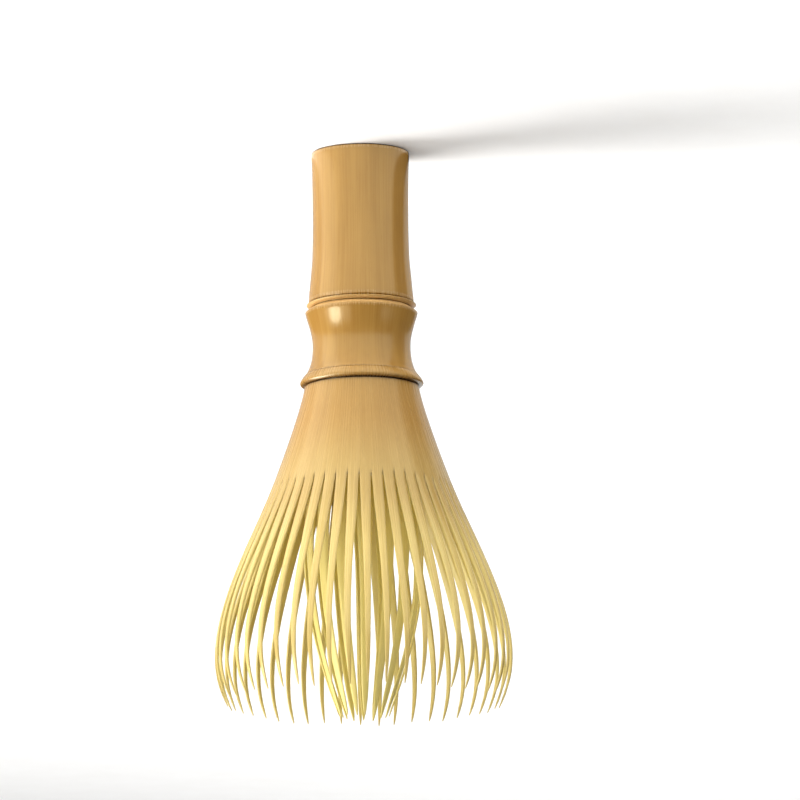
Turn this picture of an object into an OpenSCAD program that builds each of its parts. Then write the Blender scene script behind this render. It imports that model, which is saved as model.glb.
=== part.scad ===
// Bamboo tea whisk, standing on the open end of its handle with the tines upwards.
// The origin is the centre of the handle's end face, and +Z runs along the handle to the tips.

/* [Handle] */
// Length of the handle piece, from its open end to the upper joint
grip_h = 44.2; // [40:0.2:60]
// Diameter of the handle at its open end
end_d = 27.3; // [25:0.1:30]
// How far the grip's narrowest place is drawn in from the end, on the radius
grip_waist = 0.3; // [0:0.05:0.8]
// Diameter of the hollow in the handle
bore_d = 17; // [14:0.5:20]
// Depth of the hollow in the handle
bore_h = 28; // [16:1:28]

/* [Waist] */
// Length of the waist piece, between the two joints
waist_h = 22.3; // [20:0.1:32]
// Diameter of the waist's sharp rim at the upper joint
rim_d = 31.5; // [29:0.1:34]
// Diameter of the waist at its narrowest
waist_d = 27.4; // [26:0.1:28.4]

/* [Rings] */
// Diameter of the upper ring
node_ring_d = 30.8; // [30:0.1:34]
// Diameter of the ring over the joint of waist and head
binding_ring_d = 34.4; // [33:0.1:38]

/* [Head] */
// Length of the smooth skirt, from the lower joint to the plane where the tines start
skirt_h = 28.5; // [24:0.1:36]
// Diameter of the skirt next to the binding ring
skirt_d = 32; // [31:0.1:34]
// Diameter of the head where the tines start
lip_d = 50.2; // [48:0.1:54]
// Flare of the head where the tines start, in degrees from the axis
flare = 21; // [16:0.5:24]

/* [Tines] */
// Height of the outer tips above the plane where the tines start
outer_h = 61.4; // [54:0.2:70]
// Height of the inner tips above the plane where the tines start
inner_h = 65; // [56:0.5:74]
// Distance from the axis towards which the outer tines belly out
belly_pull = 48.6; // [44:0.1:52]
// Diameter of the circle of the outer tips
outer_tip_d = 76.2; // [66:0.2:84]
// Diameter of the circle of the inner tips
inner_tip_d = 12.8; // [12:0.1:18]

/* [Hidden] */
$fn = 96;

// Heights of the joints along the whisk
waist_z = grip_h;
neck_z = waist_z + waist_h;
lip_z = neck_z + skirt_h;

// The dowel that holds the handle's pieces in line
dowel_r = 6.5;
dowel_from = bore_h + 3;
dowel_to = neck_z + 18;

// Seats that the two rings are pressed on
node_seat_r = 13.6;
node_seat_h = 1.1;
ring_seat_r = 13.9;
ring_seat_h = 3;

// The gap at the bottom of the upper joint's V groove, and the chamfer of the handle's end
groove_gap = 0.1;
end_chamfer = 0.3;

// The head's inside: a web that closes the throat, and a hub that stands on it
web_h = 4.6;
throat_r = 13.6;
lip_wall = 1.6;
hub_base_r = 11.2;
hub_top_r = 13;
hub_cover = 3.2;
hub_dish_r = 9;
hub_dish_h = 1.2;

// A tine's root is a round knuckle with this much clearance from what carries it
root_gap = 0.3;
outer_root_t = 1.4;
outer_tip_t = 0.5;
inner_root_t = 1.2;
inner_tip_t = 0.5;
inner_root_r = 12.9;
inner_root_z = neck_z + 22.1;
inner_belly = 18.5;

// The outer tines are thirds of 16 sectors, and the inner tines are halves of 8 sectors
OUTER_GROUPS = 16;
OUTER_PER_GROUP = 3;
INNER_GROUPS = 8;
INNER_PER_GROUP = 2;
outer_pitch = 360 / (OUTER_GROUPS * OUTER_PER_GROUP);
inner_pitch = 360 / (INNER_GROUPS * INNER_PER_GROUP);

CURVE_STEPS = 20;
BLADE_DEPTH = 60;

function outer_name(g) = str("outer_tines_", g < 10 ? "0" : "", g);
function inner_name(g) = str("inner_tines_", g);

// ---- curves in the half plane of [radius, height] ----

// Point and unit direction on a cubic curve with the four control points c
function at(c, t) = let (u = 1 - t) u*u*u * c[0] + 3*u*u*t * c[1] + 3*u*t*t * c[2] + t*t*t * c[3];
function run(c, t) =
    let (u = 1 - t, d = u*u * (c[1] - c[0]) + 2*u*t * (c[2] - c[1]) + t*t * (c[3] - c[2])) d / norm(d);

// Points along the curve, from its start to its end
function curve(c, steps = CURVE_STEPS) = [for (i = [0 : steps]) at(c, i / steps)];

// The same curve moved to its left by a distance that runs from d0 to d1, as seen along the curve
function left_of(c, t, d0, d1) = let (w = run(c, t)) at(c, t) + (d0 + (d1 - d0) * t) * [-w[1], w[0]];
function offset_curve(c, d0, d1, steps = CURVE_STEPS) = [for (i = [0 : steps]) left_of(c, i / steps, d0, d1)];

function reversed(list) = [for (i = [len(list) - 1 : -1 : 0]) list[i]];

// The skirt's outside, and the outer and inner tines' outsides
lip = [lip_d / 2, lip_z];
lip_dir = [sin(flare), cos(flare)];
skirt_curve = [
    [skirt_d / 2, neck_z + 0.4],
    [skirt_d / 2 + 0.8, neck_z + skirt_h * 0.21],
    lip - 8 * lip_dir,
    lip
];
outer_curve = [
    lip,
    lip + outer_h * 0.33 * lip_dir,
    [belly_pull, lip_z + outer_h * 0.703],
    [outer_tip_d / 2, lip_z + outer_h]
];
inner_curve = [
    [inner_root_r, inner_root_z],
    [inner_belly, inner_root_z + (lip_z + inner_h - inner_root_z) * 0.25],
    [inner_belly, inner_root_z + (lip_z + inner_h - inner_root_z) * 0.58],
    [inner_tip_d / 2, lip_z + inner_h]
];

// The axes on which the tines bend, as [radius, height]
outer_hinge = left_of(outer_curve, 0, outer_root_t / 2, outer_root_t / 2);
inner_hinge = left_of(inner_curve, 0, inner_root_t / 2, inner_root_t / 2);

// ---- the handle ----

module lathe(points) {
    rotate_extrude() polygon(points);
}

// The grip: a hollow culm, a little waisted, that flares to the step under the upper ring
module handle_culm() {
    end_r = end_d / 2;
    flare_r = node_seat_r + 1.15;
    flare_z = waist_z - groove_gap - node_seat_h;
    grip_z = grip_h * 0.71;
    narrow = end_r - grip_waist * 4 / 3;
    grip = [
        [end_r, end_chamfer],
        [narrow, grip_z * 0.38],
        [narrow + 0.05, grip_z * 0.82],
        [end_r, grip_z]
    ];
    shoulder = [
        [end_r, grip_z],
        [end_r + 0.3, grip_z + 3],
        [flare_r - 0.35, flare_z - 3.5],
        [flare_r, flare_z]
    ];
    color("burlywood") difference() {
        lathe(concat(
            [[0, 0], [end_r - end_chamfer, 0]],
            curve(grip),
            curve(shoulder, 8),
            [[node_seat_r, flare_z], [node_seat_r, waist_z], [0, waist_z]]
        ));
        translate([0, 0, -1]) cylinder(d = bore_d, h = bore_h + 1);
        translate([0, 0, dowel_from]) cylinder(r = dowel_r, h = waist_z);
    }
}

// The upper ring: a narrow rounded hoop whose upper side slopes into the groove
module node_ring() {
    ring_r = node_ring_d / 2;
    top = waist_z - groove_gap;
    bottom = top - node_seat_h;
    bulge = [
        [node_seat_r + 0.9, bottom],
        [ring_r - 0.1, bottom + 0.2],
        [ring_r + 0.25, bottom + 0.6],
        [ring_r - 0.35, top - 0.4]
    ];
    outside = concat(curve(bulge, 12), [[node_seat_r + 0.4, top]]);
    color("tan") lathe(concat([[node_seat_r, bottom]], outside, [[node_seat_r, top]]));
}

// The waist: a sharp rim, a concave neck and a seat for the binding ring
module waist_culm() {
    rim_r = rim_d / 2;
    narrow_r = waist_d / 2;
    narrow_z = waist_z + waist_h * 0.5;
    seat_z = neck_z - ring_seat_h;
    shoulder_r = ring_seat_r + 1.9;
    upper = [
        [rim_r, waist_z + 1.6],
        [rim_r - 1, waist_z + 5.2],
        [narrow_r, narrow_z - 3.5],
        [narrow_r, narrow_z]
    ];
    lower = [
        [narrow_r, narrow_z],
        [narrow_r, narrow_z + 2.5],
        [shoulder_r - 1.7, seat_z - 2.3],
        [shoulder_r, seat_z]
    ];
    color("peru") difference() {
        lathe(concat(
            [[0, waist_z], [node_seat_r, waist_z], [rim_r - 0.15, waist_z + 1.35]],
            curve(upper, 14),
            curve(lower, 12),
            [[ring_seat_r, seat_z], [ring_seat_r, neck_z], [0, neck_z]]
        ));
        translate([0, 0, waist_z - 1]) cylinder(r = dowel_r, h = waist_h + 2);
    }
}

// The binding ring: it grows out of the waist's line and turns under sharply over the skirt
module binding_ring() {
    ring_r = binding_ring_d / 2;
    bottom = neck_z - ring_seat_h;
    widest_z = neck_z - 0.75;
    swell = [
        [ring_seat_r + 2, bottom],
        [ring_seat_r + 2.3, bottom + 0.7],
        [ring_r - 0.05, widest_z - 0.8],
        [ring_r, widest_z]
    ];
    turn = [
        [ring_r, widest_z],
        [ring_r - 0.05, widest_z + 0.4],
        [ring_r - 0.5, neck_z - 0.15],
        [ring_r - 0.9, neck_z]
    ];
    outside = concat(curve(swell, 10), curve(turn, 6));
    color("tan") lathe(concat([[ring_seat_r, bottom]], outside, [[ring_seat_r, neck_z]]));
}

// The peg through the handle, the waist and the web, into the hub
module core_dowel() {
    color("wheat") translate([0, 0, dowel_from]) cylinder(r = dowel_r, h = dowel_to - dowel_from);
}

// ---- the head ----

// The skirt: a flared shell on a web, with a small step beside the binding ring
module head_skirt() {
    lip_in = left_of(skirt_curve, 1, lip_wall, lip_wall);
    inside = [
        [throat_r, neck_z + web_h],
        [throat_r + 1.6, neck_z + web_h + 6],
        lip_in - 8 * lip_dir,
        lip_in
    ];
    lip_cut = outer_hinge[1] - outer_root_t / 2 - root_gap;
    color("burlywood") difference() {
        lathe(concat(
            [[0, neck_z], [skirt_d / 2 - 0.8, neck_z], [skirt_d / 2 - 0.8, neck_z + 0.4]],
            curve(skirt_curve),
            reversed(curve(inside)),
            [[0, neck_z + web_h]]
        ));
        translate([0, 0, neck_z - 1]) cylinder(r = dowel_r, h = web_h + 2);
        translate([0, 0, lip_cut]) cylinder(d = lip_d * 2, h = skirt_h);
    }
}

// The hub: a turned plug on the dowel's end that carries the inner tines
module inner_hub() {
    base = neck_z + web_h;
    top = inner_hinge[1] - inner_root_t / 2 - root_gap;
    color("tan") difference() {
        lathe([
            [0, base],
            [hub_base_r, base],
            [hub_top_r, top - 2],
            [hub_top_r, top],
            [hub_dish_r, top],
            [0, top - hub_dish_h]
        ]);
        translate([0, 0, base - 1]) cylinder(r = dowel_r, h = top - hub_cover - base + 1);
    }
}

// ---- the tines ----

// One tine: its side view, with a round root, cut to the taper of its front view
module blade(c, hinge, root_t, tip_t, front) {
    widest = 2 * max([for (p = front) p[0]]);
    outline = concat(front, reversed([for (p = front) [-p[0], p[1]]]));
    intersection() {
        rotate([90, 0, 0]) linear_extrude(height = widest, center = true) union() {
            polygon(concat(curve(c), reversed(offset_curve(c, root_t, tip_t))));
            translate(hinge) circle(d = root_t);
        }
        rotate([90, 0, 90]) linear_extrude(height = BLADE_DEPTH) polygon(outline);
    }
}

// Front views, as [half width, height], wide at the root and pointed at the tip
outer_front = [
    [1.42, lip_z - 2],
    [1.42, lip_z + 4],
    [1.35, lip_z + 10],
    [1.05, lip_z + outer_h * 0.42],
    [0.82, lip_z + outer_h * 0.7],
    [0.55, lip_z + outer_h * 0.9],
    [0.22, lip_z + outer_h * 0.99],
    [0.22, lip_z + outer_h + 2]
];
inner_front = [
    [2, inner_root_z - 2],
    [2, inner_root_z + 1],
    [2.4, inner_root_z + 7],
    [2.45, inner_root_z + 13],
    [2.1, inner_root_z + 21],
    [1.6, lip_z + inner_h * 0.42],
    [1.2, lip_z + inner_h * 0.76],
    [0.9, lip_z + inner_h * 0.92],
    [0.3, lip_z + inner_h * 0.99],
    [0.3, lip_z + inner_h + 2]
];

// Three neighbouring outer tines: group g is centred on its own direction
module outer_tines(g) {
    color("palegoldenrod") for (k = [-1 : 1])
        rotate([0, 0, (g - 1) * OUTER_PER_GROUP * outer_pitch + k * outer_pitch])
            blade(outer_curve, outer_hinge, outer_root_t, outer_tip_t, outer_front);
}

// Two neighbouring inner tines, half a pitch to each side of the group's direction
module inner_tines(g) {
    color("khaki") for (k = [0 : 1])
        rotate([0, 0, ((g - 1) * INNER_PER_GROUP + k) * inner_pitch])
            blade(inner_curve, inner_hinge, inner_root_t, inner_tip_t, inner_front);
}

handle_culm();
node_ring();
waist_culm();
binding_ring();
head_skirt();
core_dowel();
inner_hub();
for (g = [1 : OUTER_GROUPS]) outer_tines(g);
for (g = [1 : INNER_GROUPS]) inner_tines(g);
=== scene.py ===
import math
import random

import bmesh
import bpy
from mathutils import Matrix, Vector


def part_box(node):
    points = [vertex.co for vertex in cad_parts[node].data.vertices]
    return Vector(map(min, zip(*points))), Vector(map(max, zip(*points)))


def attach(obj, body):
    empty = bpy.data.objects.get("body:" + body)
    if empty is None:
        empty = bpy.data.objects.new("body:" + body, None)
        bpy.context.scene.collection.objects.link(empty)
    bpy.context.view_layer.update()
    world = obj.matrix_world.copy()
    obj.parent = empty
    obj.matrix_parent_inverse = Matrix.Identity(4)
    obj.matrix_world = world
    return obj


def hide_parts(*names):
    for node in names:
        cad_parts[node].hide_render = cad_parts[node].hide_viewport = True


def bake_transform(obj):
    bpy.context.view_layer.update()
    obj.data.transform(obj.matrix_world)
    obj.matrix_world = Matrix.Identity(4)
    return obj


# The looks of a bamboo tea whisk that stands on the open end of its handle, tines upwards.
# Every shape below is worked out in millimetres, and becomes metres when its mesh is made.
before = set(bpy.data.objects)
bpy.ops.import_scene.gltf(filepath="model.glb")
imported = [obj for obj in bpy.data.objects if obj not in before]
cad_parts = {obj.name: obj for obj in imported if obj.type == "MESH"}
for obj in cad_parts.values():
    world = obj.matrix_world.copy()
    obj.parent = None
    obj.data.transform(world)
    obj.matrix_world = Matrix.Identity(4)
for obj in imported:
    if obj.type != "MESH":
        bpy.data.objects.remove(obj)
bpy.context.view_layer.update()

MM = 0.001
LOW, HIGH = 0, 1


def height_of(node, end):
    """Height of a CAD node's lowest or highest point, in millimetres."""
    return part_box(node)[end].z / MM


# ---- sizes, in millimetres ----

waist_z = height_of("waist_culm", LOW)
neck_z = height_of("head_skirt", LOW)
outer_top = height_of("outer_tines_01", HIGH)
inner_top = height_of("inner_tines_1", HIGH)

# Handle and waist
END_R = 13.65
BORE_R = 8.5
BORE_H = 28
GRIP_WAIST = 0.3
DOWEL_R = 6.5
DOWEL_FROM = 31
NODE_SEAT_R = 13.6
NODE_RING_R = 15.4
NODE_RING_H = 1.1
GROOVE_GAP = 0.1
RIM_R = 15.75
WAIST_R = 13.7
RING_SEAT_R = 13.9
BINDING_RING_R = 17.2
BINDING_RING_H = 3

# Head
SKIRT_H = 28.5
SKIRT_R = 16
LIP_R = 25.1
FLARE = math.radians(21)
WEB_H = 4.6
THROAT_R = 13.6
LIP_WALL = 1.6
lip_z = neck_z + SKIRT_H

# Tines
BELLY_PULL = 48.6
OUTER_TIP_R = 38.1
OUTER_THICK = (1.4, 0.5)
INNER_THICK = (1.2, 0.5)
INNER_ROOT = (12.9, neck_z + 22.1)
INNER_BELLY = 18.5
INNER_TIP_R = 6.4
OUTER_GROUPS = 16
OUTER_PER_GROUP = 3
INNER_GROUPS = 8
INNER_PER_GROUP = 2
outer_count = OUTER_GROUPS * OUTER_PER_GROUP
inner_count = INNER_GROUPS * INNER_PER_GROUP


# ---- curves in the half plane of (radius, height) ----


class Curve:
    """A cubic curve with four control points, walked by its length."""

    SAMPLES = 240

    def __init__(self, *controls):
        self.controls = [Vector(c) for c in controls]
        self.lengths = [0.0]
        last = self.at(0)
        for i in range(1, self.SAMPLES + 1):
            here = self.at(i / self.SAMPLES)
            self.lengths.append(self.lengths[-1] + (here - last).length)
            last = here
        self.length = self.lengths[-1]

    def at(self, t):
        a, b, c, d = self.controls
        u = 1 - t
        return u**3 * a + 3 * u * u * t * b + 3 * u * t * t * c + t**3 * d

    def run(self, t):
        a, b, c, d = self.controls
        u = 1 - t
        return (u * u * (b - a) + 2 * u * t * (c - b) + t * t * (d - c)).normalized()

    def share(self, length):
        """The curve's own parameter at a length along it."""
        low, high = 0, self.SAMPLES
        while high - low > 1:
            middle = (low + high) // 2
            if self.lengths[middle] > length:
                high = middle
            else:
                low = middle
        span = self.lengths[high] - self.lengths[low]
        part = (length - self.lengths[low]) / span
        return (low + part) / self.SAMPLES

    def points(self, count):
        return [self.at(i / count) for i in range(count + 1)]


def left(direction):
    """The direction that points to the left of a direction in the half plane."""
    return Vector((-direction[1], direction[0]))


def smooth(x, low=0.0, high=1.0):
    """A soft step from 0 at low to 1 at high."""
    t = min(1.0, max(0.0, (x - low) / (high - low)))
    return t * t * (3 - 2 * t)


def eased(table, x):
    """A value from a short table of (x, value), with no kinks at its rows."""
    if x <= table[0][0]:
        return table[0][1]
    for i in range(len(table) - 1):
        (x0, y0), (x1, y1) = table[i], table[i + 1]
        if x > x1:
            continue
        before = table[i - 1] if i else table[i]
        after = table[i + 2] if i + 2 < len(table) else table[i + 1]
        slope_in = (y1 - before[1]) / (x1 - before[0])
        slope_out = (after[1] - y0) / (after[0] - x0)
        h = x1 - x0
        t = (x - x0) / h
        hermite = (2 * t**3 - 3 * t * t + 1) * y0 + (3 * t * t - 2 * t**3) * y1
        return hermite + ((t**3 - 2 * t * t + t) * slope_in + (t**3 - t * t) * slope_out) * h
    return table[-1][1]


flare_dir = Vector((math.sin(FLARE), math.cos(FLARE)))
lip = Vector((LIP_R, lip_z))
outer_h = outer_top - lip_z
inner_h = inner_top - INNER_ROOT[1]

skirt = Curve((SKIRT_R, neck_z + 0.4), (SKIRT_R + 0.8, neck_z + SKIRT_H * 0.21), lip - 8 * flare_dir, lip)
outer_line = Curve(
    lip,
    lip + outer_h * 0.33 * flare_dir,
    (BELLY_PULL, lip_z + outer_h * 0.703),
    (OUTER_TIP_R, outer_top),
)
inner_line = Curve(
    INNER_ROOT,
    (INNER_BELLY, INNER_ROOT[1] + inner_h * 0.25),
    (INNER_BELLY, INNER_ROOT[1] + inner_h * 0.58),
    (INNER_TIP_R, inner_top),
)


# ---- meshes ----


class Builder:
    """Points and faces of one piece, and what its material reads at each point.

    grain: where the point is in the bamboo's fibres, in millimetres, with z along them
    paint: x is how worn an edge is, and below zero painted shade in creases; y is painted shade at joints,
    slots and roots; z is how much of the pale inner layer shows, and pale painted light in the grooves
    tint: the tone of one tine against the next, from 0 to 1
    """

    def __init__(self):
        self.points = []
        self.faces = []
        self.grain = []
        self.paint = []
        self.tint = []

    def point(self, place, grain, paint=(0, 0, 0), tint=0.5):
        self.points.append(Vector(place) * MM)
        self.grain.append(tuple(grain))
        self.paint.append(tuple(paint))
        self.tint.append(tint)
        return len(self.points) - 1

    def band(self, row, other, closed=False):
        """Faces between two rows of points of equal length."""
        steps = len(row) if closed else len(row) - 1
        for i in range(steps):
            j = (i + 1) % len(row)
            self.faces.append((row[i], row[j], other[j], other[i]))

    def fan(self, row, middle):
        """Faces from each edge of a closed row to one point."""
        for i in range(len(row)):
            self.faces.append((row[i], row[(i + 1) % len(row)], middle))

    def piece(self, name, material, sharp=48):
        mesh = bpy.data.meshes.new(name)
        mesh.from_pydata(self.points, [], self.faces)
        for label, kind, key, values in (
            ("grain", "FLOAT_VECTOR", "vector", self.grain),
            ("paint", "FLOAT_VECTOR", "vector", self.paint),
            ("tint", "FLOAT", "value", self.tint),
        ):
            layer = mesh.attributes.new(label, kind, "POINT")
            flat = values if key == "value" else [x for value in values for x in value]
            layer.data.foreach_set(key, flat)
        shape = bmesh.new()
        shape.from_mesh(mesh)
        bmesh.ops.remove_doubles(shape, verts=shape.verts, dist=1e-7)
        bmesh.ops.recalc_face_normals(shape, faces=shape.faces)
        shape.to_mesh(mesh)
        shape.free()
        mesh.shade_smooth()
        mesh.set_sharp_from_angle(angle=math.radians(sharp))
        made = bpy.data.objects.new(name, mesh)
        bpy.context.scene.collection.objects.link(made)
        made.data.materials.append(material)
        return made


def around(radius, angle, height):
    return Vector((radius * math.cos(angle), radius * math.sin(angle), height))


# ---- turned pieces ----

OUTLINE_STEP = 0.12
TURNED_SIDES = 176
GRAIN_R = 15


def resampled(points, step):
    """The same line with points at equal steps, corners kept only roughly."""
    made = [points[0]]
    for a, b in zip(points, points[1:]):
        count = max(1, round((b - a).length / step))
        made += [a.lerp(b, (i + 1) / count) for i in range(count)]
    return made


def softened(points, passes, closed):
    """Corners rounded a little, as handling and sanding leave them."""
    for _ in range(passes):
        count = len(points)
        fixed = not closed
        moved = []
        for i, p in enumerate(points):
            if fixed and i in (0, count - 1):
                moved.append(p)
                continue
            moved.append(p * 0.5 + (points[i - 1] + points[(i + 1) % count]) * 0.25)
        points = moved
    return points


def relief_of(points, closed, reach=7):
    """How far each point stands out of the line near it: positive on edges, negative in creases."""
    count = len(points)
    made = []
    for i in range(count):
        a = points[(i - reach) % count] if closed else points[max(0, i - reach)]
        b = points[(i + reach) % count] if closed else points[min(count - 1, i + reach)]
        along = b - a
        out = Vector((along[1], -along[0]))
        out.normalize()
        made.append((points[i] - (a + b) / 2).dot(out))
    return made


def thinned(points, values, turn=math.radians(4), longest=0.9):
    """Fewer points: dense where the line bends and sparse where it runs straight."""
    kept = [0]
    for i in range(1, len(points) - 1):
        before = points[kept[-1]]
        first = points[kept[-1] + 1] - before
        here = points[i + 1] - points[i]
        if (points[i] - before).length >= longest or abs(first.angle_signed(here)) >= turn:
            kept.append(i)
    kept.append(len(points) - 1)
    return [points[i] for i in kept], [values[i] for i in kept]


def oval(angle, seed):
    """A culm is never quite round: a few hundredths of a millimetre, different for each piece."""
    wave = 0.045 * math.cos(2 * (angle - seed)) + 0.02 * math.cos(3 * angle + seed * 2)
    return wave + 0.012 * math.cos(11 * angle + seed) + 0.008 * math.cos(17 * angle - seed)


def turned(name, outline, material, closed=True, painted_shades=(), pith_and_painted_light=None, seed=0.0, passes=6):
    """A turned piece, with bands of painted shade given as (height, reach, strength), and a function that
    says where the pale inner layer shows and where pale painted light fills a groove.
    """
    line = [Vector(p) for p in outline]
    if closed:
        line = line + [line[0]]
    line = resampled(line, OUTLINE_STEP)
    if closed:
        line = line[:-1]
    line = softened(line, passes, closed)
    line, relief = thinned(line, relief_of(line, closed))
    builder = Builder()
    rows = []
    for (radius, height), stands in zip(line, relief):
        # Relief below zero becomes painted shade in the creases; above zero it marks a worn edge.
        wear_and_crease_shade = max(-1.0, min(1.0, stands / 0.12))
        # Bands of painted shade where the pieces meet.
        painted_shade = sum(s * math.exp(-(((height - z) / reach) ** 2)) for z, reach, s in painted_shades)
        # Pale inner layer at the grip's end and bore, and pale painted light in the grooves.
        pith_and_painted_light_share = pith_and_painted_light(radius, height) if pith_and_painted_light else 0.0
        if radius < 1e-6:
            point = builder.point((0, 0, height), (0, 0, height), (wear_and_crease_shade, painted_shade, pith_and_painted_light_share))
            rows.append([point] * TURNED_SIDES)
            continue
        row = []
        for i in range(TURNED_SIDES):
            angle = i / TURNED_SIDES * math.tau
            far = radius + oval(angle, seed) * min(1.0, radius / GRAIN_R)
            deep = GRAIN_R - pith_and_painted_light_share * (END_R - radius)
            grain = around(deep, angle, height)
            row.append(builder.point(around(far, angle, height), grain, (wear_and_crease_shade, painted_shade, pith_and_painted_light_share)))
        rows.append(row)
    pairs = list(zip(rows, rows[1:]))
    if closed:
        pairs.append((rows[-1], rows[0]))
    for row, other in pairs:
        if row[0] == row[1]:
            for i in range(TURNED_SIDES):
                builder.faces.append((row[0], other[(i + 1) % TURNED_SIDES], other[i]))
        elif other[0] == other[1]:
            for i in range(TURNED_SIDES):
                builder.faces.append((row[i], row[(i + 1) % TURNED_SIDES], other[0]))
        else:
            builder.band(row, other, closed=True)
    return builder.piece(name, material)


def grip_outline():
    """The hollow grip, a little waisted, flaring to the step under the upper ring."""
    flare_r = NODE_SEAT_R + 1.15
    flare_z = waist_z - GROOVE_GAP - NODE_RING_H
    grip_z = waist_z * 0.71
    narrow = END_R - GRIP_WAIST * 4 / 3
    grip = Curve((END_R, 0.3), (narrow, grip_z * 0.38), (narrow + 0.05, grip_z * 0.82), (END_R, grip_z))
    shoulder = Curve(
        (END_R, grip_z), (END_R + 0.3, grip_z + 3), (flare_r - 0.35, flare_z - 3.5), (flare_r, flare_z)
    )
    return (
        [(0, BORE_H), (BORE_R, BORE_H), (BORE_R, 0), (END_R - 0.3, 0)]
        + grip.points(24)
        + shoulder.points(12)[1:-1]
        + [(flare_r - 0.1, flare_z - 0.12), (flare_r - 0.4, flare_z + 0.02)]
        + [(NODE_SEAT_R, flare_z + 0.05), (NODE_SEAT_R, waist_z)]
        + [(DOWEL_R, waist_z), (DOWEL_R, DOWEL_FROM), (0, DOWEL_FROM)]
    )


def node_ring_outline():
    """A narrow rounded hoop whose upper side slopes into the groove."""
    bottom = waist_z - GROOVE_GAP - NODE_RING_H
    top = waist_z - GROOVE_GAP
    bulge = Curve(
        (NODE_SEAT_R + 0.9, bottom + 0.05),
        (NODE_RING_R - 0.1, bottom + 0.2),
        (NODE_RING_R + 0.25, bottom + 0.6),
        (NODE_RING_R - 0.35, top - 0.4),
    )
    return (
        [(NODE_SEAT_R, bottom + 0.05)]
        + bulge.points(16)
        + [(NODE_SEAT_R + 0.4, top), (NODE_SEAT_R, top)]
    )


def waist_outline():
    """A sharp rim, a concave neck and the seat of the binding ring."""
    narrow_z = waist_z + (neck_z - waist_z) * 0.5
    seat_z = neck_z - BINDING_RING_H
    shoulder_r = RING_SEAT_R + 1.9
    upper = Curve(
        (RIM_R, waist_z + 1.6),
        (RIM_R - 1, waist_z + 5.2),
        (WAIST_R, narrow_z - 3.5),
        (WAIST_R, narrow_z),
    )
    lower = Curve(
        (WAIST_R, narrow_z),
        (WAIST_R, narrow_z + 2.5),
        (shoulder_r - 1.7, seat_z - 2.3),
        (shoulder_r, seat_z),
    )
    return (
        [(DOWEL_R, waist_z), (NODE_SEAT_R, waist_z), (RIM_R - 0.15, waist_z + 1.35)]
        + upper.points(20)
        + lower.points(20)[1:]
        + [(RING_SEAT_R, seat_z), (RING_SEAT_R, neck_z), (DOWEL_R, neck_z)]
    )


def binding_ring_outline():
    """It grows out of the waist's line and turns under sharply over the skirt."""
    bottom = neck_z - BINDING_RING_H
    widest_z = neck_z - 0.75
    swell = Curve(
        (RING_SEAT_R + 2, bottom),
        (RING_SEAT_R + 2.3, bottom + 0.7),
        (BINDING_RING_R - 0.05, widest_z - 0.8),
        (BINDING_RING_R, widest_z),
    )
    turn = Curve(
        (BINDING_RING_R, widest_z),
        (BINDING_RING_R - 0.05, widest_z + 0.4),
        (BINDING_RING_R - 0.5, neck_z - 0.15),
        (BINDING_RING_R - 0.9, neck_z),
    )
    return [(RING_SEAT_R, bottom)] + swell.points(16) + turn.points(8)[1:] + [(RING_SEAT_R, neck_z)]


# ---- tines ----

# A tine's section is two faces of seven points each, with rounded edges
ACROSS = (-1, -0.86, -0.5, 0, 0.5, 0.86, 1)
EDGE_DROP = (1, 0.24, 0, 0, 0, 0.24, 1)
BACK_SHARE = 0.9

# How much pith shows on the sides that the knife cut
SIDE_CUT = 0.75

# Where the head's mesh takes up the slots, how far their starts differ and where the stubs end,
# in millimetres past the lip
SLOT_START = -3.0
SLOT_SPREAD = 0.63
STUB_TOP = 3.6

# Rows of points before and after a slot's start, how they crowd towards it, and how fast it opens
SLOT_ROWS = (6, 9)
SLOT_CROWDING = 1.4
SLOT_OPENING = 0.62

# Rows of points along the skirt's outside and inside
SKIRT_STEPS = 44
INSIDE_STEPS = 14

# Painted shade in the slots and painted shadow at the head's foot under the binding ring, and how soon a
# tine takes on its own tone
SLOT_SHADE = 0.55
SLOT_SHADE_REACH = 1.6
FOOT_SHADE_REACH = 0.55
TONE_REACH = 7

TINE_STEPS = 46

# How deep an inner tine's first two rings sit in the hub, and how dark the painted shade at its root is
ROOT_SUNK = (2.6, 1.2)
ROOT_SHADE = 0.5

# Half width of an outer tine by height above the lip, and of an inner tine by height above its root
OUTER_HALF = (
    (STUB_TOP, 1.46),
    (10, 1.38),
    (outer_h * 0.42, 1.06),
    (outer_h * 0.7, 0.82),
    (outer_h * 0.9, 0.55),
    (outer_h * 0.975, 0.3),
    (outer_h, 0.12),
)
INNER_HALF = (
    (0, 2.0),
    (1, 2.0),
    (7, 2.38),
    (13, 2.43),
    (21, 2.1),
    (inner_h * 0.47, 1.6),
    (inner_h * 0.78, 1.2),
    (inner_h * 0.92, 0.88),
    (inner_h * 0.98, 0.42),
    (inner_h, 0.14),
)
sector = math.tau / outer_count
slots = random.Random(7)
slot_start = [slots.uniform(-SLOT_SPREAD, SLOT_SPREAD) for _ in range(outer_count)]
tones = random.Random(21)
outer_tone = [tones.uniform(0.1, 0.9) for _ in range(outer_count)]
inner_tone = [tones.uniform(0.1, 0.9) for _ in range(inner_count)]


def outside(s):
    """Point and direction on the head's outside at a length s past the lip (before it if negative)."""
    if s < 0:
        t = skirt.share(skirt.length + s)
        return skirt.at(t), skirt.run(t)
    t = outer_line.share(s)
    return outer_line.at(t), outer_line.run(t)


def outer_thickness(s):
    if s < 0:
        return OUTER_THICK[0] + (LIP_WALL - OUTER_THICK[0]) * min(1.0, -s / 3)
    share = s / outer_line.length
    return OUTER_THICK[0] + (OUTER_THICK[1] - OUTER_THICK[0]) * share


def edge_of(thick):
    """How deep the rounding of a tine's long edges goes."""
    return min(thick * 0.3, 0.32)


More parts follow.
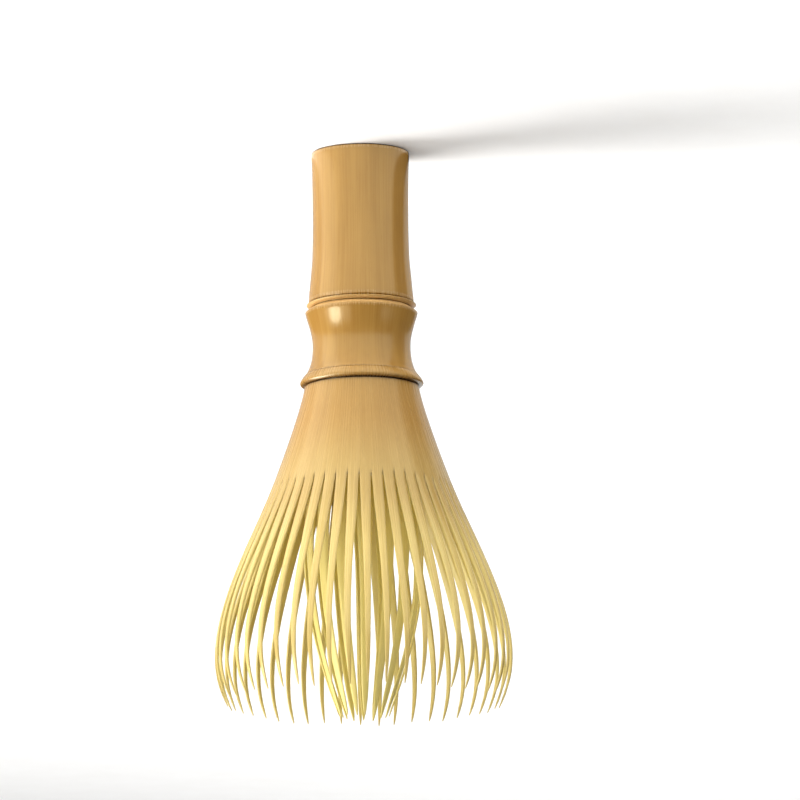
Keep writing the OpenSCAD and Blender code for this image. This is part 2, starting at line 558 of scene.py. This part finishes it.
def section(builder, place, run, direction, half, thick, drift, painted_shade, tint, root, s):
    """One ring of points across a tine, first its outer face and then its inner face, as one loop.

    place and run are the outside's point and direction, half is half the tine's width, drift its own
    (outwards, sideways) shift, root the radius and half angle that its fibres are counted from, and s
    the length along them.
    """
    inward = left(run)
    outer_row = []
    inner_row = []
    edge = edge_of(thick)
    for f, drop in zip(ACROSS, EDGE_DROP):
        fibre = direction + f * root[1]
        faces = ((outer_row, drop * edge, 1), (inner_row, thick - drop * edge, BACK_SHARE))
        for row, depth, share in faces:
            p = place + inward * depth + Vector((drift[0], 0))
            angle = direction + (f * half * share + drift[1]) / p[0]
            grain = around(root[0] - depth, fibre, s)
            back = 1.0 if row is inner_row else 0.0
            side = 1.0 if drop == 1 else 0.0
            pith_and_painted_light_share = max(back, side * SIDE_CUT)
            wear_and_crease_shade = side * (1 - back)
            row.append(builder.point(around(p[0], angle, p[1]), grain, (wear_and_crease_shade, painted_shade, pith_and_painted_light_share), tint))
    return outer_row, inner_row


def slot_edge(k, side):
    """Where the slot on one side of outer tine k starts, in mm past the lip."""
    return slot_start[(k + side) % outer_count]


def head(material):
    """The skirt with the 48 stubs of its outer tines, parted by slots that start at uneven heights."""
    builder = Builder()
    skirt_end = skirt.share(skirt.length + SLOT_START)
    step_r = SKIRT_R - 0.8
    outer_profile = [Vector((DOWEL_R, neck_z)), Vector((step_r, neck_z)), Vector((step_r, neck_z + 0.3))]
    outer_profile += [skirt.at(skirt_end * i / SKIRT_STEPS) for i in range(SKIRT_STEPS)]
    outer_profile = resampled(outer_profile[:4], 0.15)[:-1] + outer_profile[3:]
    mouth, mouth_run = outside(SLOT_START)
    mouth_in = mouth + left(mouth_run) * outer_thickness(SLOT_START)
    inside = Curve(
        (THROAT_R, neck_z + WEB_H), (THROAT_R + 1.6, neck_z + WEB_H + 6), mouth_in - 8 * mouth_run, mouth_in
    )
    inner_profile = [Vector((DOWEL_R, neck_z)), Vector((DOWEL_R, neck_z + WEB_H))]
    inner_profile += inside.points(INSIDE_STEPS)[:-1]
    half_angle = sector / 2
    below, above = SLOT_ROWS
    top_place, _ = outside(STUB_TOP)
    stub_gap = top_place[0] * half_angle - eased(OUTER_HALF, STUB_TOP)

    # Painted shadow at the head's foot, under the binding ring's overhang.
    def foot_shade_at(height):
        return math.exp(-(((height - neck_z) / FOOT_SHADE_REACH) ** 2))

    for k in range(outer_count):
        direction = k * sector
        columns = [direction + f * half_angle for f in ACROSS]
        outer_rows = []
        inner_rows = []
        for rows, profile, pith_and_painted_light_share in ((outer_rows, outer_profile, 0.0), (inner_rows, inner_profile, 1.0)):
            for r, z in profile:
                row = []
                for angle in columns:
                    grain = around(LIP_R - 1.5 * pith_and_painted_light_share, angle, z - lip_z)
                    row.append(builder.point(around(r, angle, z), grain, (0, foot_shade_at(z), pith_and_painted_light_share)))
                rows.append(row)
        lows = (slot_edge(k, 0), slot_edge(k, 1))
        for i in range(below + above + 1):
            outer_row = []
            inner_row = []
            for f, drop in zip(ACROSS, EDGE_DROP):
                start = lows[0] + (lows[1] - lows[0]) * (f + 1) / 2
                if i <= below:
                    s = SLOT_START + (start - SLOT_START) * i / below
                else:
                    s = start + (STUB_TOP - start) * ((i - below) / above) ** SLOT_CROWDING
                place, run = outside(s)
                open_share = max(0.0, s - start) / (STUB_TOP - start)
                gap = stub_gap * open_share**SLOT_OPENING
                round_off = smooth(s, start - 0.9, start + 1.6)
                thick = outer_thickness(s)
                edge = edge_of(thick) * round_off
                inward = left(run)
                for row, depth, share in (
                    (outer_row, drop * edge, 1),
                    (inner_row, thick - drop * edge, BACK_SHARE),
                ):
                    p = place + inward * depth
                    full = place[0] * half_angle
                    half = full - gap
                    if i > below:
                        half *= 1 - round_off * (1 - share)
                    width = f * half
                    angle = direction + width / (p[0] if i > below else place[0])
                    if i <= below:
                        angle = direction + f * half_angle
                    grain = around(LIP_R - depth, direction + f * half_angle, s)
                    back = 1.0 if row is inner_row else 0.0
                    side = abs(f) == 1
                    opened = smooth(s, start - 0.4, start + 1.2)
                    pith_and_painted_light_share = max(back, SIDE_CUT * opened if side else 0.0)
                    wear_and_crease_shade = opened if side and not back else 0.0
                    # Painted shade on a stub's sides where its slot starts.
                    painted_shade = SLOT_SHADE * (1 - smooth(abs(s - start), 0, SLOT_SHADE_REACH)) if side else 0.0
                    tint = 0.5 + (outer_tone[k] - 0.5) * smooth(s, start, start + TONE_REACH)
                    row.append(builder.point(around(p[0], angle, p[1]), grain, (wear_and_crease_shade, painted_shade, pith_and_painted_light_share), tint))
            outer_rows.append(outer_row)
            inner_rows.append(inner_row)
        for rows in (outer_rows, inner_rows):
            for row, other in zip(rows, rows[1:]):
                builder.band(row, other)
        walls_from = len(outer_rows) - above - 1
        walls_from_inner = len(inner_rows) - above - 1
        for i in range(above):
            for end in (0, -1):
                a, b = outer_rows[walls_from + i][end], outer_rows[walls_from + i + 1][end]
                c, d = inner_rows[walls_from_inner + i + 1][end], inner_rows[walls_from_inner + i][end]
                builder.faces.append((a, b, c, d))
        builder.band(outer_rows[-1], inner_rows[-1])
    return builder.piece("head", material)


def tine(builder, k, kind):
    """One tine from its root to its pointed tip."""
    outer = kind == "outer"
    own = random.Random((100 if outer else 500) + k)
    line = outer_line if outer else inner_line
    thick = OUTER_THICK if outer else INNER_THICK
    count = outer_count if outer else inner_count
    direction = k * math.tau / count
    start = STUB_TOP if outer else 0.0
    short = own.uniform(0, 1.0)
    end = line.length - short
    sway = own.uniform(-0.45, 0.45)
    lean = own.uniform(-0.32, 0.32)
    draw_in = own.uniform(0, 0.45) if outer else own.uniform(-0.5, 0.5)
    belly_in = own.uniform(0, 0.2) if outer else own.uniform(-0.6, 0.3)
    broad = own.uniform(0.95, 1.05)
    tone = outer_tone[k] if outer else inner_tone[k]
    root = (LIP_R, sector / 2) if outer else (GRAIN_R, math.radians(8))
    slot_low = slot_edge(k, 0), slot_edge(k, 1)
    rings = []
    if not outer:
        root_half = INNER_HALF[0][1]
        for deep in ROOT_SUNK:
            place, run = line.at(0), line.run(0)
            sunk = place - run * deep
            rows = section(
                builder, sunk, run, direction, root_half, thick[0], (0, 0), ROOT_SHADE, tone, root, -deep
            )
            rings.append(rows[0] + rows[1][::-1])
    for i in range(TINE_STEPS + 1):
        u = i / TINE_STEPS
        s = start + (end - start) * u
        t = line.share(s)
        place, run = line.at(t), line.run(t)
        rise = place[1] - line.at(0)[1]
        table = OUTER_HALF if outer else INNER_HALF
        stretch = (line.at(1)[1] - line.at(0)[1]) / (line.at(line.share(end))[1] - line.at(0)[1])
        free = smooth(u, 0, 0.35)
        half = eased(table, rise * (1 + (stretch - 1) * free)) * (1 + (broad - 1) * free)
        depth = thick[0] + (thick[1] - thick[0]) * t
        taper = smooth(line.length - short - s, -0.4, 3.0)
        depth *= 0.45 + 0.55 * taper
        outwards = -draw_in * smooth(u, 0.15, 1.0) - belly_in * math.sin(math.pi * u) ** 2 * free
        sideways = sway * smooth(u, 0.2, 1.0) + lean * math.sin(math.pi * u) ** 2 * free
        if outer:
            painted_shade = 0.0
            slot_middle = sum(slot_low) / 2
            tint = 0.5 + (tone - 0.5) * smooth(s, slot_middle, slot_middle + TONE_REACH)
        else:
            # Painted shade near the root, where the tine goes into the hub.
            painted_shade = ROOT_SHADE * (1 - smooth(s, 0, 3))
            tint = tone
        drift = (outwards, sideways)
        rows = section(builder, place, run, direction, half, depth, drift, painted_shade, tint, root, s)
        rings.append(rows[0] + rows[1][::-1])
    for ring, other in zip(rings, rings[1:]):
        builder.band(ring, other, closed=True)
    for ring in (rings[0], rings[-1]):
        middle = sum((builder.points[i] for i in ring), Vector()) / len(ring) / MM
        cap = builder.point(middle, builder.grain[ring[3]], builder.paint[ring[3]], builder.tint[ring[3]])
        builder.fan(ring, cap)


def tine_group(kind, g, material):
    """The tines of one group, numbered from 1, as one piece."""
    outer = kind == "outer"
    per_group = OUTER_PER_GROUP if outer else INNER_PER_GROUP
    count = outer_count if outer else inner_count
    first = (g - 1) * per_group - (1 if outer else 0)
    builder = Builder()
    for k in range(first, first + per_group):
        tine(builder, k % count, kind)
    label = f"{g:02d}" if outer else str(g)
    made = builder.piece(f"{kind}_tine_group_{label}", material)
    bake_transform(made)
    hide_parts(f"{kind}_tines_{label}")
    return made


# ---- materials ----


def srgb(red, green, blue):
    """A colour given as on a screen, from 0 to 255, as the shader wants it."""
    made = []
    for value in (red, green, blue):
        share = value / 255
        made.append(share / 12.92 if share <= 0.04045 else ((share + 0.055) / 1.055) ** 2.4)
    return (*made, 1.0)


class Nodes:
    """Short calls for the nodes of one material."""

    def __init__(self, name):
        self.material = bpy.data.materials.new(name)
        self.material.use_nodes = True
        self.tree = self.material.node_tree
        self.shader = self.tree.nodes["Principled BSDF"]

    def put(self, socket, value):
        if isinstance(value, bpy.types.NodeSocket):
            self.tree.links.new(value, socket)
        else:
            socket.default_value = value

    def attribute(self, name, output):
        made = self.tree.nodes.new("ShaderNodeAttribute")
        made.attribute_name = name
        return made.outputs[output]

    def split(self, vector):
        made = self.tree.nodes.new("ShaderNodeSeparateXYZ")
        self.put(made.inputs[0], vector)
        return made.outputs

    def stretched(self, vector, scale):
        made = self.tree.nodes.new("ShaderNodeVectorMath")
        made.operation = "MULTIPLY"
        self.put(made.inputs[0], vector)
        self.put(made.inputs[1], scale)
        return made.outputs[0]

    def grained(self, vector, scale, detail, rough):
        """Noise drawn out along the bamboo by a scale for each axis."""
        made = self.tree.nodes.new("ShaderNodeTexNoise")
        self.put(made.inputs["Vector"], self.stretched(vector, scale))
        self.put(made.inputs["Scale"], 1.0)
        self.put(made.inputs["Detail"], detail)
        self.put(made.inputs["Roughness"], rough)
        return made.outputs[0]

    def ranged(self, value, low, high, to_low=0.0, to_high=1.0):
        made = self.tree.nodes.new("ShaderNodeMapRange")
        made.interpolation_type = "SMOOTHSTEP"
        for socket, given in zip(made.inputs, (value, low, high, to_low, to_high)):
            self.put(socket, given)
        return made.outputs[0]

    def maths(self, operation, a, b):
        made = self.tree.nodes.new("ShaderNodeMath")
        made.operation = operation
        self.put(made.inputs[0], a)
        self.put(made.inputs[1], b)
        return made.outputs[0]

    def times(self, a, b):
        return self.maths("MULTIPLY", a, b)

    def mixed(self, share, a, b):
        made = self.tree.nodes.new("ShaderNodeMix")
        made.data_type = "RGBA"
        self.put(made.inputs[0], share)
        self.put(made.inputs[6], a)
        self.put(made.inputs[7], b)
        return made.outputs[2]

    def bumped(self, height, strength, distance):
        made = self.tree.nodes.new("ShaderNodeBump")
        self.put(made.inputs["Height"], height)
        self.put(made.inputs["Strength"], strength)
        self.put(made.inputs["Distance"], distance)
        return made.outputs[0]


# Noise scales across and along the fibres, per millimetre, with detail and roughness
FIBRES = ((2.4, 2.4, 0.045), 4.0, 0.56)
BANDS = ((0.3, 0.3, 0.014), 2.0, 0.5)
MOTTLE = ((0.11, 0.11, 0.06), 2.0, 0.5)
FLECKS = ((3.4, 3.4, 0.42), 2.0, 0.5)

# What each of them adds to the tone
FIBRE_SHARE = 0.34
BAND_SHARE = 0.4
MOTTLE_SHARE = 0.26
TINT_SHARE = 0.16

# How strongly flecks, worn edges (least and most) and the painted shade in creases show, and how pale a
# worn edge gets
FLECK_SHARE = 0.16
RUBBED_SHARE = (0.08, 0.26)
CREASE_SHADE_SHARE = 0.45
RUBBED_WHITE = 0.12

# Roughness added by cut pith and by wear, and the fibres' relief as strength and depth in metres
CUT_ROUGH = 0.16
WORN_ROUGH = 0.06
RELIEF = (0.14, 0.00006)


def bamboo(name, skin, gloss, wax, turns_to=None, turns=(0, 1), marks=1.0):
    """Bamboo: lengthwise fibres, slow bands of tone, flecks, worn edges and the pale inner layer, with
    painted shade in creases, at joints, in slots and at roots, and pale painted light in grooves.

    skin is (light, dark, inner layer). On the rings and the waist the third colour is pale painted light in
    the grooves. turns_to is a second skin that the first one becomes between the two heights in turns,
    counted from the lip. marks is how strongly fibres, flecks, worn edges and the painted shade in
    creases show.
    """
    n = Nodes(name)
    place = n.attribute("grain", "Vector")
    light, dark, pith_and_painted_light = skin
    if turns_to:
        share = n.ranged(n.split(place)[2], *turns)
        light, dark, pith_and_painted_light = (n.mixed(share, first, second) for first, second in zip(skin, turns_to))
    wear_and_crease_shade, painted_shade_share, pith_and_painted_light_share = n.split(n.attribute("paint", "Vector"))
    tint = n.attribute("tint", "Fac")
    fibres = n.grained(place, *FIBRES)
    bands = n.grained(place, *BANDS)
    mottle = n.grained(place, *MOTTLE)
    flecks = n.grained(place, *FLECKS)
    # Weaker fibres keep the same middle tone
    calm = (1 - marks) * FIBRE_SHARE / 2
    tone = n.maths("ADD", n.times(fibres, FIBRE_SHARE * marks), n.times(bands, BAND_SHARE))
    tone = n.maths("ADD", tone, calm)
    tone = n.maths("ADD", tone, n.times(mottle, MOTTLE_SHARE))
    tone = n.maths("ADD", tone, n.times(n.maths("SUBTRACT", tint, 0.5), TINT_SHARE))
    colour = n.mixed(n.ranged(tone, 0.3, 0.7), dark, light)
    colour = n.mixed(n.times(n.ranged(flecks, 0.66, 0.76), FLECK_SHARE * marks), colour, FLECK_AND_SHADE_BROWN)
    # Pale inner layer where the bamboo is opened, and pale painted light in the grooves of the rings and
    # waist.
    pith_and_painted_light_colour = n.mixed(n.ranged(fibres, 0.35, 0.65), pith_and_painted_light, n.mixed(0.5, pith_and_painted_light, light))
    colour = n.mixed(n.ranged(pith_and_painted_light_share, 0.0, 1.0), colour, pith_and_painted_light_colour)
    patchy = n.ranged(mottle, 0.3, 0.6, RUBBED_SHARE[0] * marks, RUBBED_SHARE[1] * marks)
    rubbed = n.times(n.ranged(wear_and_crease_shade, 0.1, 0.9), patchy)
    colour = n.mixed(rubbed, colour, n.mixed(RUBBED_WHITE, light, (1, 1, 1, 1)))
    # Painted shade: darker in the creases and in the bands laid at joints, slots and roots.
    crease_shade = n.times(n.ranged(wear_and_crease_shade, -0.08, -0.9), CREASE_SHADE_SHARE * marks)
    shade_share = n.maths("MAXIMUM", crease_shade, n.times(painted_shade_share, n.ranged(fibres, 0.2, 0.7, 0.75, 1.0)))
    colour = n.mixed(shade_share, colour, FLECK_AND_SHADE_BROWN)
    n.put(n.shader.inputs["Base Color"], colour)
    rough = n.ranged(fibres, 0.3, 0.7, gloss - 0.05, gloss + 0.07)
    rough = n.maths("ADD", rough, n.times(pith_and_painted_light_share, CUT_ROUGH))
    rough = n.maths("ADD", rough, n.times(n.ranged(wear_and_crease_shade, 0.1, 0.9), WORN_ROUGH))
    n.put(n.shader.inputs["Roughness"], rough)
    ridges = n.maths("ADD", fibres, n.times(flecks, 0.3))
    n.put(n.shader.inputs["Normal"], n.bumped(ridges, *RELIEF))
    n.put(n.shader.inputs["Specular IOR Level"], wax)
    n.put(n.shader.inputs["Specular Tint"], WAX_TINT)
    return n.material


def turned_wood(name, light, dark, scale):
    """Plain wood for the inside pieces, with pores. scale is the grain's, for each axis, per metre."""
    n = Nodes(name)
    place = n.tree.nodes.new("ShaderNodeTexCoord").outputs["Object"]
    grain = n.grained(place, scale, 5.0, 0.6)
    pores = n.grained(place, (4200, 4200, 500), 2.0, 0.5)
    colour = n.mixed(n.ranged(grain, 0.32, 0.68), dark, light)
    colour = n.mixed(n.times(n.ranged(pores, 0.64, 0.74), 0.4), colour, dark)
    n.put(n.shader.inputs["Base Color"], colour)
    n.put(n.shader.inputs["Roughness"], n.ranged(grain, 0.3, 0.7, 0.5, 0.66))
    n.put(n.shader.inputs["Normal"], n.bumped(grain, 0.3, 0.00008))
    return n.material


def paper(name):
    """The pale sweep that the whisk stands on."""
    n = Nodes(name)
    place = n.tree.nodes.new("ShaderNodeTexCoord").outputs["Object"]
    tooth = n.grained(place, (60, 60, 60), 4.0, 0.6)
    colour = n.mixed(tooth, srgb(240, 239, 237), srgb(246, 246, 245))
    n.put(n.shader.inputs["Base Color"], colour)
    n.put(n.shader.inputs["Roughness"], 0.85)
    n.put(n.shader.inputs["Specular IOR Level"], 0.1)
    return n.material


# A dark brown for the flecks, and for the painted shade in creases, at joints, in slots and at roots.
FLECK_AND_SHADE_BROWN = srgb(70, 36, 8)
WAX_TINT = (1.0, 0.95, 0.64, 1.0)
CULM = (srgb(170, 128, 62), srgb(151, 109, 48), srgb(158, 122, 66))
# The rings' third colour is pale painted light that lightens the shaded groove.
RING = (srgb(168, 128, 62), srgb(156, 113, 50), srgb(226, 188, 126))
HEAD = (srgb(172, 131, 68), srgb(160, 118, 57), srgb(188, 158, 90))
# The root tone keeps the head's greener hue near the lip. It is also kept darker than the tines there, as
# painted shade against the stronger light on the flaring skirt.
SHADED_ROOT = (srgb(186, 156, 94), srgb(174, 142, 79), srgb(196, 174, 102))
TINE = (srgb(210, 186, 116), srgb(196, 168, 96), srgb(208, 190, 116))
LEAF = (srgb(225, 208, 128), srgb(209, 188, 105), srgb(220, 204, 122))
culm_skin = bamboo("culm_skin", CULM, 0.2, 1.0)
# The waist's third colour is the rings' pale painted light, used under its rim.
waist_skin = bamboo("waist_skin", (CULM[0], CULM[1], RING[2]), 0.2, 1.0)
ring_skin = bamboo("ring_skin", RING, 0.2, 1.0, marks=0.5)
# The head and the tines' feet turn to the root tone, darkened as painted shade near the lip.
head_skin = bamboo("head_skin", HEAD, 0.25, 0.9, SHADED_ROOT, (-SKIRT_H * 0.7, STUB_TOP), marks=0.75)
tine_skin = bamboo("tine_skin", SHADED_ROOT, 0.25, 0.9, TINE, (STUB_TOP, 26), marks=0.75)
leaf_skin = bamboo("leaf_skin", LEAF, 0.32, 0.7)
hub_wood = turned_wood("hub_wood", srgb(190, 152, 92), srgb(146, 106, 54), (500, 500, 500))
dowel_wood = turned_wood("dowel_wood", srgb(214, 184, 132), srgb(180, 142, 90), (900, 900, 40))


# ---- the object ----


def pith_of_grip(radius, _):
    """The grip's end face and the bore show the pale inner layer, with a soft edge at the skin."""
    return 1.0 - smooth(radius, END_R - 1.1, END_R - 0.35)


def painted_light_in_groove(_, height):
    """Pale painted light on the upper ring above its widest line, where the groove would lie in shade."""
    return smooth(height, ring_foot + 0.4, ring_foot + 0.75)


def painted_light_under_rim(_, height):
    """Pale painted light on the waist under its sharp rim, where the groove would lie in shade."""
    return 1.0 - smooth(height, waist_z + 0.9, waist_z + 1.4)


def joined(piece, node):
    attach(piece, "handle")
    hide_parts(node)
    return piece


ring_foot = waist_z - GROOVE_GAP - NODE_RING_H
# Painted shade at the grip's foot on the floor and under the upper ring.
grip = turned(
    "grip",
    grip_outline(),
    culm_skin,
    closed=False,
    painted_shades=((0, 0.3, 0.7), (ring_foot, 0.2, 0.4)),
    pith_and_painted_light=pith_of_grip,
    seed=0.4,
)
joined(grip, "handle_culm")
# Painted shade at the upper ring's foot, and pale painted light in its groove.
upper_ring = turned(
    "upper_ring",
    node_ring_outline(),
    ring_skin,
    painted_shades=((ring_foot, 0.14, 0.3),),
    pith_and_painted_light=painted_light_in_groove,
    seed=1.3,
    passes=3,
)
joined(upper_ring, "node_ring")
# Painted shade at the binding ring's seat, and pale painted light under the rim.
waist = turned(
    "waist",
    waist_outline(),
    waist_skin,
    painted_shades=((neck_z - BINDING_RING_H, 0.16, 0.2),),
    pith_and_painted_light=painted_light_under_rim,
    seed=2.1,
    passes=2,
)
joined(waist, "waist_culm")
# Painted shade at the binding ring's foot, and a strong painted shadow under its overhang, over the skirt.
lower_ring = turned(
    "lower_ring",
    binding_ring_outline(),
    ring_skin,
    painted_shades=((neck_z - BINDING_RING_H, 0.14, 0.2), (neck_z + 0.05, 0.3, 0.8)),
    seed=3.2,
    passes=4,
)
joined(lower_ring, "binding_ring")
joined(head(head_skin), "head_skirt")
for g in range(1, OUTER_GROUPS + 1):
    tine_group("outer", g, tine_skin)
for g in range(1, INNER_GROUPS + 1):
    tine_group("inner", g, leaf_skin)
for node, material, slot in (("inner_hub", hub_wood, "hub"), ("core_dowel", dowel_wood, "dowel")):
    inside_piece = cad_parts[node]
    inside_piece.data.materials.clear()
    inside_piece.data.materials.append(material)


# ---- floor, light and camera, in metres and degrees ----

VIEW_AZIMUTH = 2
VIEW_ELEVATION = 11
VIEW_DISTANCE = 2.3
VIEW_ROLL = 179.55
VIEW_WIDTH = 0.2228
VIEW_ASIDE = 0.0106
VIEW_HEIGHT = 0.0704
SENSOR = 36
LAMP_DISTANCE = 1.3
LAMP_SIZE = (0.7, 0.85)
APRON_SIZE = (1.6, 0.8)
APRON_HEIGHT = 0.0003
FLOOR_HALF = 6
SKY = 0.02


def direction_to(azimuth, elevation):
    """The way from the object to something at an azimuth and elevation; azimuth 0 is at -Y."""
    a, e = math.radians(azimuth), math.radians(elevation)
    return Vector((math.sin(a) * math.cos(e), -math.cos(a) * math.cos(e), math.sin(e)))


def facing(obj, place, target, roll=0.0):
    """Puts a camera or a lamp at a place, looking at a target, turned round its own axis."""
    turn = (target - place).to_track_quat("-Z", "Y").to_matrix().to_4x4()
    obj.matrix_world = Matrix.Translation(place) @ turn @ Matrix.Rotation(math.radians(roll), 4, "Z")


def area_light(name, size, power):
    data = bpy.data.lights.new(name, "AREA")
    data.shape = "RECTANGLE"
    data.size, data.size_y = size
    data.energy = power
    obj = bpy.data.objects.new(name, data)
    bpy.context.scene.collection.objects.link(obj)
    return obj


def lamp(name, azimuth, elevation, power, target, distance=LAMP_DISTANCE, size=LAMP_SIZE):
    obj = area_light(name, size, power)
    facing(obj, target + direction_to(azimuth, elevation) * distance, target)
    return obj


def apron(name, azimuth, power):
    """A light that lies on the floor and shines upwards, as a lit table top does. Never seen itself."""
    obj = area_light(name, APRON_SIZE, power)
    obj.visible_camera = False
    turn = Matrix.Rotation(math.radians(azimuth), 4, "Z") @ Matrix.Rotation(math.pi, 4, "X")
    away = direction_to(azimuth, 0) * APRON_SIZE[1] / 2
    obj.matrix_world = Matrix.Translation(away + Vector((0, 0, APRON_HEIGHT))) @ turn


def floor():
    mesh = bpy.data.meshes.new("floor")
    half = FLOOR_HALF
    corners = [(-half, -half, 0), (half, -half, 0), (half, half, 0), (-half, half, 0)]
    mesh.from_pydata(corners, [], [(0, 1, 2, 3)])
    obj = bpy.data.objects.new("floor", mesh)
    bpy.context.scene.collection.objects.link(obj)
    obj.data.materials.append(paper("paper"))
    obj.visible_glossy = False


def sky():
    world = bpy.data.worlds.new("studio")
    bpy.context.scene.world = world
    world.use_nodes = True
    background = world.node_tree.nodes["Background"]
    background.inputs["Color"].default_value = (1, 1, 1, 1)
    background.inputs["Strength"].default_value = SKY


def camera():
    data = bpy.data.cameras.new("camera")
    data.sensor_width = SENSOR
    data.lens = SENSOR * VIEW_DISTANCE / VIEW_WIDTH
    data.clip_start = 0.1
    data.clip_end = 50
    obj = bpy.data.objects.new("camera", data)
    bpy.context.scene.collection.objects.link(obj)
    back = direction_to(VIEW_AZIMUTH, VIEW_ELEVATION)
    across = Vector((math.cos(math.radians(VIEW_AZIMUTH)), math.sin(math.radians(VIEW_AZIMUTH)), 0))
    target = Vector((0, 0, VIEW_HEIGHT)) - across * VIEW_ASIDE
    facing(obj, target + back * VIEW_DISTANCE, target, VIEW_ROLL)
    bpy.context.scene.camera = obj


middle = Vector((0, 0, 0.08))
floor()
sky()
camera()
key = lamp("key", 64, 20, 5.8, middle, distance=1.2, size=(0.66, 0.36))
key.data.shape = "ELLIPSE"
lamp("front", 40, 34, 2.4, middle)
lamp("side", 105, 34, 9.2, middle)
lamp("back", 120, 50, 15.8, middle)
lamp("behind", 180, 50, 4.8, middle)
lamp("rim", -165, 18, 2.2, middle)
lamp("far_side", -60, 34, 2.0, middle)
lamp("overhead", 0, 90, 9.8, Vector((0, 0, 0)), distance=2.2, size=(3.4, 3.4))
apron("apron", 15, 4.1)
apron("back_apron", 151, 2.6)
bpy.context.scene.view_settings.view_transform = "Standard"
